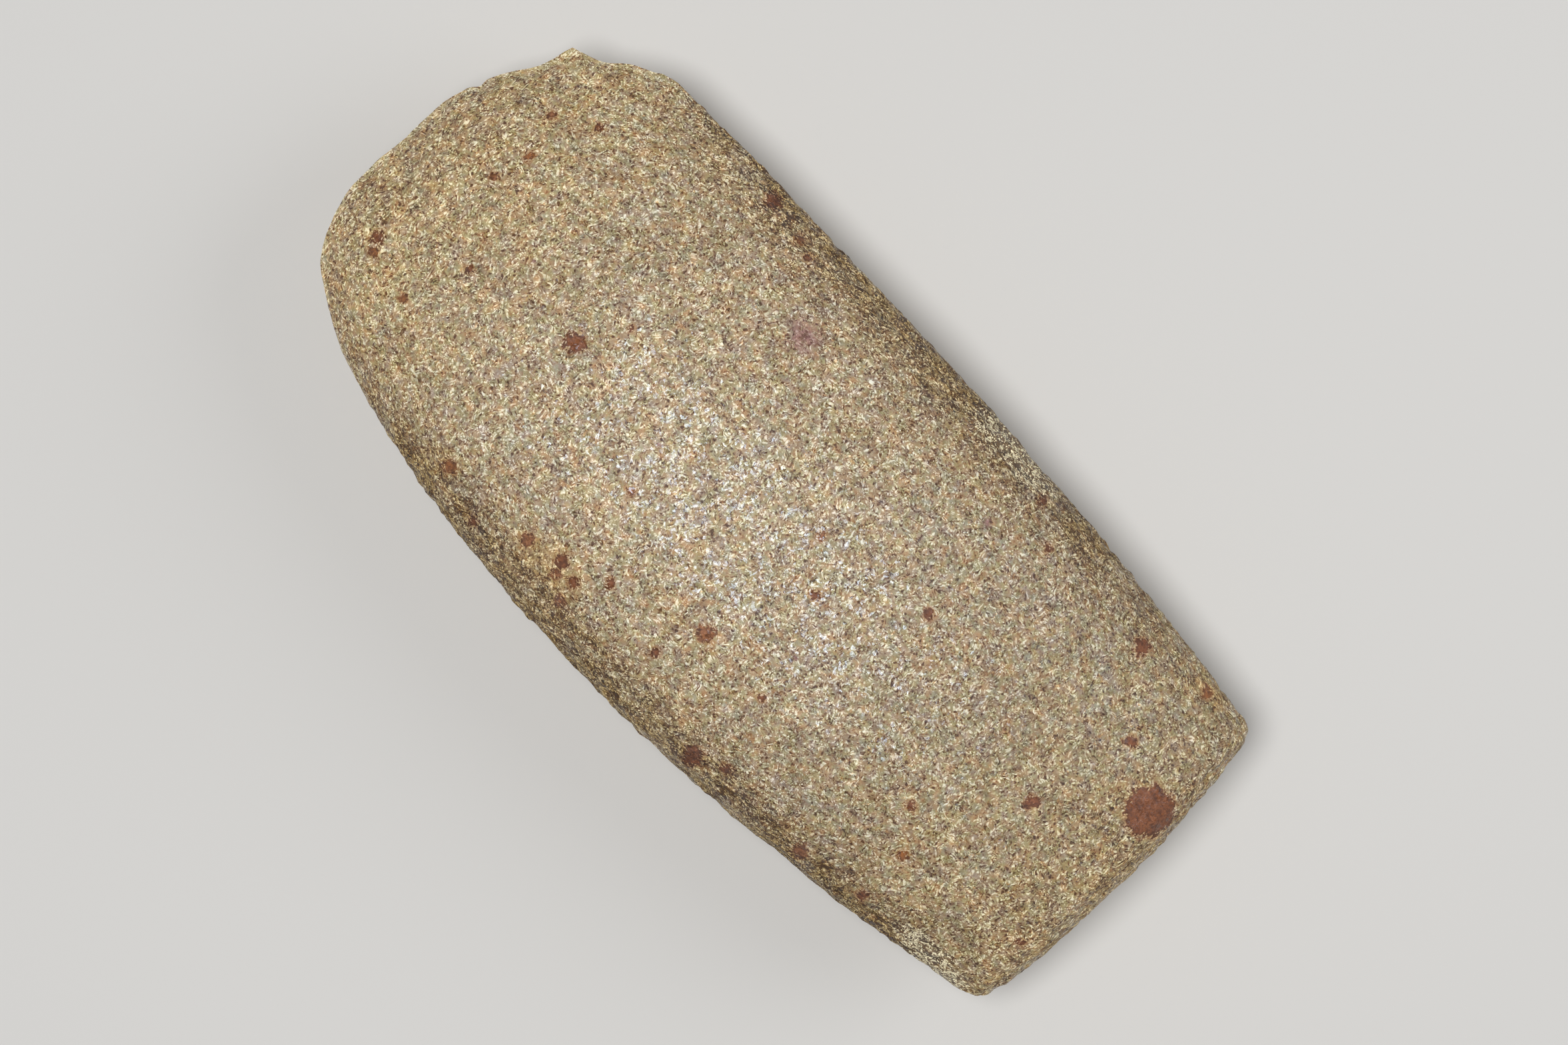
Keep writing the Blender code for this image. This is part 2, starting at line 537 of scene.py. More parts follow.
@dataclass(frozen=True)
class Mottling:
    """Colour of the ground: its tone, tinted from grey through tan to orange in mottles, with some light and
    shade painted along the head.

    Attributes:
        tones: The stone's colour from its darkest to its palest.
        tints: Hues of its mottling, from grey to orange, about the neutral brightness.
    """

    tones: Stops = (
        (0.0, (0.110, 0.064, 0.034)),
        (0.26, (0.270, 0.180, 0.096)),
        (0.38, (0.350, 0.264, 0.153)),
        (0.50, (0.426, 0.354, 0.216)),
        (0.61, (0.522, 0.440, 0.288)),
        (0.74, (0.638, 0.558, 0.388)),
        (0.86, (0.763, 0.682, 0.498)),
        (1.0, (0.910, 0.855, 0.700)),
    )
    tints: Stops = (
        (0.0, (0.57, 0.625, 0.82)),
        (0.25, (0.60, 0.62, 0.70)),
        (0.50, (0.63, 0.62, 0.60)),
        (0.75, (0.665, 0.61, 0.53)),
        (1.0, (0.71, 0.57, 0.43)),
    )
    neutral: float = 0.62
    tint_cloud: Cloud = Cloud(0.26, 3.0, 0.6)
    tint_speck_share: float = 2.0
    tint_cloud_share: float = 1.2
    tint_offset: float = 1.1
    olive: Colour = (0.60, 0.62, 0.52)
    blue_grey: Colour = (0.54, 0.575, 0.68)
    cool_hues: Cloud = Cloud(0.6)
    cool_hue_span: Span = Span(0.42, 0.58)
    cool_span: Span = Span(0.50, 0.62, 0.0, 0.75)
    rosy: Colour = (1.02, 0.895, 0.95)
    mossy: Colour = (0.96, 1.01, 0.94)
    blush: Cloud = Cloud(1.0)
    blush_of_tone: float = 0.2
    blush_span: Span = Span(0.42, 0.60)
    plain: Colour = (0.62, 0.61, 0.60)
    plain_span: Span = Span(0.2, 1.0, 0.0, 0.65)
    ochre: Colour = (0.77, 0.53, 0.33)
    ochre_cloud: Cloud = Cloud(1.7, 2.0, 0.6)
    ochre_span: Span = Span(0.62, 0.72, 0.0, 0.60)
    ochre_of_stain: float = 0.07
    umber: Colour = (0.68, 0.55, 0.32)
    umber_cloud: Cloud = Cloud(0.33)
    umber_span: Span = Span(0.38, 0.62, 0.50, 1.0)
    umber_of_stain: float = 0.5
    # Painted sheen: both ends warmer, as the bluish sheen lies only on the middle.
    warmth_beyond_sheen: Colour = (1.0, 0.975, 0.885)
    beyond_sheen_ends: Span = Span(22.0, 50.0)
    # Darker towards the butt.
    middle_to_butt: Span = Span(-12.0, 42.0, 0.92, 0.76)
    # Painted light: the butt's rim, the cutting edge's end and the left half are made lighter for how the
    # light falls on them.
    painted_butt_rim_light: Span = Span(54.5, 58.5, 1.0, 1.25)
    edge: Span = Span(-58.0, -30.0, 1.12, 1.0)
    painted_left_light: Span = Span(-4.0, 14.0, 1.0, 1.06)
    # Random clouds of lighter and darker stone, its own tone.
    broad_shade: Cloud = Cloud(0.30)
    broad_share: float = 0.55
    fine_shade: Cloud = Cloud(0.75)
    fine_share: float = 0.95
    least_shade: float = 0.35
    # Painted shade: a little darker where pecked, for the sheen that the rough skin lacks.
    pecked_shade: float = 0.06
    lightness: float = 1.07

    def colour(self, bench: Bench, spot: Spot, tone: Wire) -> Wire:
        """Colour of the ground at a spot of this tone."""
        colour = bench.vector("MULTIPLY", bench.ramp(tone, self.tones), self._tint(bench, spot, tone))
        return bench.vector("SCALE", colour, scale=self._shade(bench, spot) / self.neutral)

    def _tint(self, bench: Bench, spot: Spot, tone: Wire) -> Wire:
        """Work out the hue that the tone is tinted with.

        Args:
            bench: Where the nodes go.
            spot: What is read of the skin.
            tone: The stone's tone there.

        Returns:
            The tint, as bright as neutral on average.
        """
        cloud = bench.noise(spot.place, self.tint_cloud)
        mottle = spot.speck * self.tint_speck_share + cloud * self.tint_cloud_share - self.tint_offset
        tint = bench.ramp(mottle, self.tints)
        cool_hue = bench.ease(bench.noise(spot.moved, self.cool_hues), self.cool_hue_span)
        cool = bench.blend(self.blue_grey, self.olive, cool_hue)
        tint = bench.blend(tint, cool, bench.ease(spot.crowd, self.cool_span))
        blush = bench.noise(spot.moved, self.blush) + (tone - MIDDLE) * self.blush_of_tone
        blush = bench.blend(self.rosy, self.mossy, bench.ease(blush, self.blush_span))
        tint = bench.vector("MULTIPLY", tint, blush)
        tint = bench.blend(tint, self.plain, bench.ease(tone, self.plain_span))
        stained = bench.mark(Trace.STAIN)
        rusty = bench.noise(spot.moved, self.ochre_cloud) + stained * self.ochre_of_stain
        tint = bench.blend(tint, self.ochre, bench.ease(rusty, self.ochre_span))
        brown = bench.ease(bench.noise(spot.moved, self.umber_cloud), self.umber_span) * spot.pecked
        tint = bench.blend(tint, self.umber, bench.math("MAXIMUM", brown, stained * self.umber_of_stain))
        # Painted sheen: warmer towards both ends, as the bluish sheen lies only on the middle.
        ends = bench.ease(bench.math("ABSOLUTE", bench.part(spot.place, X)), self.beyond_sheen_ends)
        return bench.vector("MULTIPLY", tint, bench.blend(WHITE, self.warmth_beyond_sheen, ends))

    def _shade(self, bench: Bench, spot: Spot) -> Wire:
        """Work out how much lighter or darker the stone is here than its tone and tint alone: darker towards
        the butt, painted light on the butt's rim, the cutting edge's end and the left half, random clouds,
        and painted shade where pecked.

        Args:
            bench: Where the nodes go.
            spot: What is read of the skin.

        Returns:
            The share of its brightness.
        """
        behind = -1.0 * bench.part(spot.place, X)
        # Darker towards the butt, with painted light on the butt's rim, the cutting edge's end and the left
        # half.
        along = bench.ease(behind, self.middle_to_butt) * bench.ease(behind, self.painted_butt_rim_light)
        along = along * bench.ease(behind, self.edge)
        along = along * bench.ease(bench.part(spot.place, Y), self.painted_left_light)
        broad = bench.noise(spot.moved, self.broad_shade) * self.broad_share
        fine = bench.noise(spot.moved, self.fine_shade) * self.fine_share
        clouded = broad + fine + self.least_shade
        # Painted shade where pecked, for the sheen that the rough skin lacks.
        return along * clouded * (1.0 - self.pecked_shade * spot.pecked) * self.lightness


@dataclass(frozen=True)
class Flecks:
    """Ragged dark flecks and open pores, thicker where the stone was only pecked."""

    pitch: Colour = (0.075, 0.062, 0.052)
    blue_black: Colour = (0.080, 0.080, 0.080)
    hues: Cloud = Cloud(0.8)
    hue_span: Span = Span(0.4, 0.6)
    strength: float = 0.8
    cloud: Cloud = Cloud(2.4, 3.0, 0.75)
    span: Span = Span(0.73, 0.79)
    crowd: Cloud = Cloud(0.3)
    crowd_share: float = 0.12
    pecked_share: float = 0.09

    def cover(self, bench: Bench, spot: Spot) -> Wire:
        """How much a fleck covers, from 0 to 1."""
        crowd = bench.noise(spot.place, self.crowd) * self.crowd_share + spot.pecked * self.pecked_share
        return bench.ease(bench.noise(spot.place, self.cloud) + crowd, self.span)

    def lay(self, bench: Bench, spot: Spot, stone: Wire, cover: Wire) -> Wire:
        """Lay the flecks over the stone.

        Args:
            bench: Where the nodes go.
            spot: What is read of the skin.
            stone: The stone's colour so far.
            cover: How much a fleck covers.

        Returns:
            The stone's colour with its flecks.
        """
        hue = bench.ease(bench.noise(spot.place, self.hues), self.hue_span)
        dark = bench.blend(self.pitch, self.blue_black, hue)
        return bench.blend(stone, dark, cover * self.strength)


@dataclass(frozen=True)
class RustGrains:
    """Rust grains with a ragged darker rim, and an orange stain close around each.

    Lengths are in mm. The hues stand in the order of Tone.
    """

    hues: tuple[Colour, ...] = (
        (0.205, 0.068, 0.027),
        (0.33, 0.165, 0.170),
        (0.32, 0.130, 0.058),
        (0.31, 0.115, 0.036),
    )
    core: Colour = (0.100, 0.034, 0.020)
    core_cloud: Cloud = Cloud(1.6, 3.0, 0.7)
    core_span: Span = Span(0.44, 0.62)
    core_share: float = 0.75
    stain: Colour = (0.46, 0.22, 0.085)
    stain_span: Span = Span(0.0, 0.55, 0.60, 0.0)
    ragged: Cloud = Cloud(0.9)
    ragged_share: float = 2.0
    block_spacing: float = 0.47
    block_share: float = 0.5
    jolt: float = 0.8
    most_jolt: float = 0.8
    rim_span: Span = Span(-0.4, 0.0, 1.15, 0.75)
    light_share: float = 0.4
    lath_bite: float = 0.45
    solid_span: Span = Span(-0.02, 0.16, 0.92, 0.0)
    plum_span: Span = Span(0.0, 0.1, 1.0, 0.0)
    haze_span: Span = Span(0.0, 1.25, 0.80, 0.0)

    def lay(self, bench: Bench, spot: Spot, stone: Wire, light: Wire) -> Wire:
        """Lay the grains and their stains over the stone.

        Args:
            bench: Where the nodes go.
            spot: What is read of the skin.
            stone: The stone's colour so far.
            light: How light the crystals are there, about 1.

        Returns:
            The stone's colour with its grains.
        """
        offset = bench.mark(Trace.RUST, "Vector")
        size = bench.mark(Trace.RUST_SIZE)
        tone = bench.part(offset, Z)
        radii = self._radii(bench, spot.place, offset, size)
        beyond = (radii - 1.0) * size
        grain = self._grain(bench, spot.place, tone, beyond, light)
        plum = bench.ease(bench.math("ABSOLUTE", tone - Tone.PLUM.value), self.plum_span)
        bitten = beyond + (light - 1.0) * self.lath_bite
        solid = bench.ease(bitten, self.solid_span) * (1.0 - plum)
        hazy = bench.ease(radii, self.haze_span) * plum
        around = bench.ease(beyond, self.stain_span) * (1.0 - plum)
        return bench.blend(bench.blend(stone, self.stain, around), grain, bench.math("MAXIMUM", solid, hazy))

    def _radii(self, bench: Bench, place: Wire, offset: Wire, size: Wire) -> Wire:
        """Measure the distance from the nearest grain, jolted so that its border is ragged.

        Args:
            bench: Where the nodes go.
            place: Place in mm.
            offset: The way from the grain, in its radii.
            size: The grain's radius in mm.

        Returns:
            The distance, in the grain's radii.
        """
        clouds = bench.vector("SCALE", bench.noises(place, self.ragged), scale=self.ragged_share)
        blocks = bench.vector("SCALE", bench.scatter(place, self.block_spacing), scale=self.block_share)
        middle = (self.ragged_share + self.block_share) * MIDDLE
        jolt = bench.vector("SUBTRACT", bench.vector("ADD", clouds, blocks), (middle, middle, middle))
        jolt = bench.vector("SCALE", jolt, scale=bench.math("MINIMUM", self.jolt / size, self.most_jolt))
        jolted = bench.vector("ADD", offset, jolt)
        return bench.vector("LENGTH", bench.vector("MULTIPLY", jolted, (1.0, 1.0, 0.0)))

    def _grain(self, bench: Bench, place: Wire, tone: Wire, beyond: Wire, light: Wire) -> Wire:
        """Colour a grain.

        Args:
            bench: Where the nodes go.
            place: Place in mm.
            tone: The grain's hue, as a place on its ramp.
            beyond: How far outside the grain's border it is, in mm.
            light: How light the crystals are there, about 1.

        Returns:
            The grain's colour.
        """
        stops = tuple((kind.value, hue) for kind, hue in zip(Tone, self.hues))
        core = bench.ease(bench.noise(place, self.core_cloud), self.core_span)
        grain = bench.blend(bench.ramp(tone, stops), self.core, core * self.core_share)
        lit = 1.0 - self.light_share + self.light_share * light
        return bench.vector("SCALE", grain, scale=bench.ease(beyond, self.rim_span) * lit)


@dataclass(frozen=True)
class ChalkScuffs:
    """Chalky scuffs where the skin of the stone is bruised."""

    chalk: Colour = (0.72, 0.64, 0.44)
    light_span: Span = Span(0.7, 1.3, 0.80, 1.9)
    broken: Cloud = Cloud(1.3, 3.0, 0.7)
    broken_of_depth: float = 0.3
    broken_span: Span = Span(0.55, 0.75)
    border_span: Span = Span(0.0, 0.6)
    crystal_span: Span = Span(0.75, 1.1, 0.1, 0.85)

    def lay(self, bench: Bench, spot: Spot, stone: Wire, light: Wire) -> Wire:
        """Lay the scuffs over the stone, mostly on its lighter crystals.

        Args:
            bench: Where the nodes go.
            spot: What is read of the skin.
            stone: The stone's colour so far.
            light: How light the crystals are there, about 1.

        Returns:
            The stone's colour with its scuffs.
        """
        depth = bench.mark(Trace.CHALK)
        pale = bench.vector("SCALE", self.chalk, scale=bench.ease(light, self.light_span))
        broken = bench.noise(spot.place, self.broken) + depth * self.broken_of_depth
        share = bench.ease(broken, self.broken_span) * bench.ease(depth, self.border_span)
        return bench.blend(stone, pale, share * bench.ease(light, self.crystal_span))


@dataclass(frozen=True)
class StoneSkin:
    """Polish and tooth of the surface: bright crystal faces, each tilted its own way, in mm."""

    face_spacing: float = 0.33
    face_shuffle: float = 7.31
    glint_speck: float = 2.0
    glint_crowd: Cloud = Cloud(0.45)
    glint_crowding: float = 3.5
    glint_span: Span = Span(0.58, 0.66)
    roughness: float = 0.68
    glint_polish: float = 0.48
    pecked_roughness: float = 0.22
    fleck_roughness: float = 0.3
    roughest: float = 0.95
    tilt: float = 0.06
    glint_tilt: float = 0.28
    tooth: Cloud = Cloud(1.5, 4.0, 0.7)
    ground_tooth: float = 0.15
    pecked_tooth: float = 2.2
    fleck_sink: float = 0.4
    relief: float = 0.45
    relief_strength: float = 0.8

    def polish(self, bench: Bench, spot: Spot, flecks: Wire) -> tuple[Wire, Wire]:
        """Work out how polished the stone is and which way its crystal faces look.

        Args:
            bench: Where the nodes go.
            spot: What is read of the skin.
            flecks: How much a dark fleck covers.

        Returns:
            The roughness and the normal.
        """
        colour = bench.scatter(spot.wavy, self.face_spacing)
        lot = bench.math("FRACT", bench.part(colour, X) * self.face_shuffle)
        gathered = bench.swing(spot.place, self.glint_crowd, self.glint_crowding)
        bright = bench.ease(lot - (spot.speck - MIDDLE) * self.glint_speck - gathered, self.glint_span)
        roughness = self.roughness - self.glint_polish * bright
        roughness = roughness + self.pecked_roughness * spot.pecked + self.fleck_roughness * flecks
        tilt = bench.vector("SUBTRACT", colour, (MIDDLE, MIDDLE, MIDDLE))
        tilt = bench.vector("SCALE", tilt, scale=self.tilt + self.glint_tilt * bright)
        facing = bench.wire(bench.node("ShaderNodeNewGeometry"), "Normal")
        tilted = bench.vector("NORMALIZE", bench.vector("ADD", facing, tilt))
        tooth = bench.noise(spot.place, self.tooth) * (self.ground_tooth + self.pecked_tooth * spot.pecked)
        sockets = {"Strength": self.relief_strength, "Distance": self.relief * MM}
        sockets |= {"Height": tooth - flecks * self.fleck_sink, "Normal": tilted}
        bump = bench.node("ShaderNodeBump", {}, sockets)
        return bench.math("MINIMUM", roughness, self.roughest), bench.wire(bump, "Normal")


@dataclass(frozen=True)
class StoneFinish:
    """Weathered dolerite: mottled ground, pale crystals, dark flecks, rust grains, chalky scuffs."""

    tone: StoneTone = StoneTone()
    mottling: Mottling = Mottling()
    flecks: Flecks = Flecks()
    rust: RustGrains = RustGrains()
    chalk: ChalkScuffs = ChalkScuffs()
    skin: StoneSkin = StoneSkin()
    speck: Cloud = Cloud(1.0, 1.0)
    crowd: Cloud = Cloud(0.8, 2.0, 0.6)
    hue_shift: Colour = (37.0, 19.0, 5.0)
    light_gain: float = 1.2
    least_light: float = 0.4
    refraction: float = 1.52
    sheen: Colour = (0.70, 0.85, 1.0)

    def material(self) -> bpy.types.Material:
        """Build the stone's material.

        Returns:
            A node material that reads Object coordinates and the marks on the stone's points.
        """
        material = bpy.data.materials.new("weathered_dolerite")
        material.use_nodes = True
        bench = Bench(material.node_tree)
        spot = self._spot(bench)
        tone = self.tone.level(bench, spot)
        light = tone * self.light_gain + self.least_light
        flecks = self.flecks.cover(bench, spot)
        stone = self.mottling.colour(bench, spot, tone)
        stone = self.flecks.lay(bench, spot, stone, flecks)
        stone = self.rust.lay(bench, spot, stone, light)
        stone = self.chalk.lay(bench, spot, stone, light)
        roughness, normal = self.skin.polish(bench, spot, flecks)
        sockets = {"Base Color": stone, "Roughness": roughness, "Normal": normal}
        bench.surface(sockets | {"IOR": self.refraction, "Specular Tint": self.sheen})
        return material

    def _spot(self, bench: Bench) -> Spot:
        """Read the skin once for all layers.

        Args:
            bench: Where the nodes go.

        Returns:
            What the layers read.
        """
        coordinates = bench.wire(bench.node("ShaderNodeTexCoord"), "Object")
        place = bench.vector("SCALE", coordinates, scale=1 / MM)
        return Spot(
            place=place,
            wavy=self.tone.crystals.swayed(bench, place),
            moved=bench.vector("ADD", place, self.hue_shift),
            speck=bench.noise(place, self.speck),
            crowd=bench.noise(place, self.crowd),
            pecked=bench.mark(Trace.PECKED),
        )


@dataclass(frozen=True)
class FloorFinish:
    """Plain pale matt floor."""

    colour: Colour = (0.72, 0.71, 0.69)
    roughness: float = 0.9

    def material(self) -> bpy.types.Material:
        """Build the floor's material.

        Returns:
            A material of one colour.
        """
        material = bpy.data.materials.new("pale_floor")
        material.use_nodes = True
        Bench(material.node_tree).surface({"Base Color": self.colour, "Roughness": self.roughness})
        return material


@dataclass
class Relief:
    """Hollows, peck marks and pits, sunk into the stone's skin and never raised. Lengths are in mm."""

    hollow_spacing: float = 9.0
    hollow_depth: float = 0.20
    hollow_level: float = 0.35
    peck_spacing: float = 1.9
    peck_depth: float = 1.2
    peck_level: float = 0.42
    peck_roughness: float = 0.55
    pit_spacing: float = 3.4
    pit_radius: float = 0.95
    pit_depth: float = 0.32
    pit_bowl: Span = Span(0.25, 1.0, 1.0, 0.0)
    ground_pits: float = 0.10
    pecked_pits: float = 0.62
    ground_pit_depth: float = 0.35
    seed: int = 7
    seed_shift: Colour = (17.3, 5.1, 29.7)
    flank: Span = Span(0.10, 0.50)
    butt: Span = Span(46.0, 60.0)
    butt_pecking: float = 0.5
    patches: Cloud = Cloud(0.16)
    patch_span: Span = Span(0.30, 0.55, 0.55, 1.0)
    edge_zone: Span = Span(30.0, 46.0, 1.0, 0.25)
    calm_back: Span = Span(18.0, 48.0)
    calm_right: Span = Span(0.0, 18.0)
    calm_share: float = 0.75
    calm_butt: float = 0.6
    edge_wear: Span = Span(44.0, 58.0, 0.0, 0.15)

    def apply(self, stone: bpy.types.Object, material: bpy.types.Material) -> None:
        """Give the stone a live modifier that sinks the relief.

        Args:
            stone: The smooth stone.
            material: The finish that the modifier sets on it.
        """
        relief = stone.modifiers.new("relief", "NODES")
        relief.node_group = self._tree(material)
        sizes = self._sizes()
        for item in relief.node_group.interface.items_tree:
            if item.name in sizes:
                relief[item.identifier] = sizes[item.name]

    def _sizes(self) -> dict[str, float | int]:
        """Name the sizes that are inputs of the tree.

        Returns:
            The value of each input.
        """
        return {
            "Hollow Spacing": self.hollow_spacing,
            "Hollow Depth": self.hollow_depth,
            "Peck Spacing": self.peck_spacing,
            "Peck Depth": self.peck_depth,
            "Pit Spacing": self.pit_spacing,
            "Pit Radius": self.pit_radius,
            "Pit Depth": self.pit_depth,
            "Seed": self.seed,
        }

    def _tree(self, material: bpy.types.Material) -> bpy.types.NodeTree:
        """Build the tree that sinks the relief and keeps how pecked each point is.

        Args:
            material: The finish that the tree sets on the stone.

        Returns:
            A geometry node tree with the relief's sizes as its inputs.
        """
        tree = bpy.data.node_groups.new("pecked_relief", "GeometryNodeTree")
        tree.interface.new_socket("Geometry", in_out="INPUT", socket_type="NodeSocketGeometry")
        for name, value in self._sizes().items():
            kind = "NodeSocketInt" if isinstance(value, int) else "NodeSocketFloat"
            tree.interface.new_socket(name, in_out="INPUT", socket_type=kind)
        tree.interface.new_socket("Geometry", in_out="OUTPUT", socket_type="NodeSocketGeometry")
        bench = Bench(tree)
        given = bench.node("NodeGroupInput")
        size = {socket.name: Wire(bench, socket) for socket in given.outputs if socket.name}
        place = bench.vector("SCALE", bench.wire(bench.node("GeometryNodeInputPosition")), scale=1 / MM)
        normal = bench.wire(bench.node("GeometryNodeInputNormal"))
        pecked = self._pecked(bench, place, normal)
        depth = self._depth(bench, place, pecked, size)
        offset = bench.vector("SCALE", normal, scale=depth * (-MM))
        kept = {"Name": Trace.PECKED.value, "Value": self._worn(bench, place, pecked)}
        steps = (
            ("GeometryNodeSetPosition", {}, {"Offset": offset}),
            ("GeometryNodeStoreNamedAttribute", {"data_type": "FLOAT", "domain": "POINT"}, kept),
            ("GeometryNodeRealizeInstances", {}, {}),
            ("GeometryNodeSetMaterial", {}, {"Material": material}),
        )
        geometry = given.outputs["Geometry"]
        for kind, settings, sockets in steps:
            geometry = bench.node(kind, settings, {"Geometry": geometry, **sockets}).outputs[0]
        bench.node("NodeGroupOutput", {}, {"Geometry": geometry})
        return tree

    def _pecked(self, bench: Bench, place: Wire, normal: Wire) -> Wire:
        """Work out how roughly the stone was pecked: flanks and butt, in patches, least at the edge.

        Args:
            bench: Where the nodes go.
            place: Place in mm.
            normal: Way out of the stone.

        Returns:
            A share from 0 to 1.
        """
        ahead = bench.part(place, X)
        steep = 1.0 - bench.math("ABSOLUTE", bench.part(normal, Z))
        butt = bench.ease(-1.0 * ahead, self.butt) * self.butt_pecking
        flank = bench.math("MAXIMUM", bench.ease(steep, self.flank), butt)
        patches = bench.ease(bench.noise(place, self.patches), self.patch_span)
        return flank * patches * bench.ease(ahead, self.edge_zone)

    def _worn(self, bench: Bench, place: Wire, pecked: Wire) -> Wire:
        """Work out how pecked the finish shows the stone: calmer at the back, worn at the edge.

        Args:
            bench: Where the nodes go.
            place: Place in mm.
            pecked: How roughly the stone was pecked.

        Returns:
            A share from 0 to 1.
        """
        ahead = bench.part(place, X)
        behind = -1.0 * ahead
        right = -1.0 * bench.part(place, Y)
        calm = bench.ease(behind, self.calm_back) * bench.ease(right, self.calm_right) * self.calm_share
        calm = bench.math("MAXIMUM", calm, bench.ease(behind, self.butt) * self.calm_butt)
        return bench.math("MAXIMUM", pecked * (1.0 - calm), bench.ease(ahead, self.edge_wear))

    def _depth(self, bench: Bench, place: Wire, pecked: Wire, size: dict[str, Wire]) -> Wire:
        """Work out how deep the relief is.

        Args:
            bench: Where the nodes go.
            place: Place in mm.
            pecked: How roughly the stone was pecked.
            size: The tree's inputs by name.

        Returns:
            The depth in mm.
        """
        shifted = bench.vector("ADD", place, bench.vector("SCALE", self.seed_shift, scale=size["Seed"]))
        hollow = bench.noise(shifted, Cloud(1.0 / size["Hollow Spacing"], 1.0)) - self.hollow_level
        pecks = Cloud(1.0 / size["Peck Spacing"], 2.0, self.peck_roughness)
        peck = bench.noise(shifted, pecks) - self.peck_level
        colour, distance = bench.cells(bench.vector("SCALE", shifted, scale=1.0 / size["Pit Spacing"]))
        chance = self.ground_pits + self.pecked_pits * pecked
        there = bench.math("LESS_THAN", bench.part(colour, X), chance)
        away = distance * size["Pit Spacing"] / size["Pit Radius"]
        pit = there * bench.ease(away, self.pit_bowl) * size["Pit Depth"]
        depth = hollow * size["Hollow Depth"] + peck * size["Peck Depth"] * pecked
        return depth + pit * (self.ground_pit_depth + (1.0 - self.ground_pit_depth) * pecked)


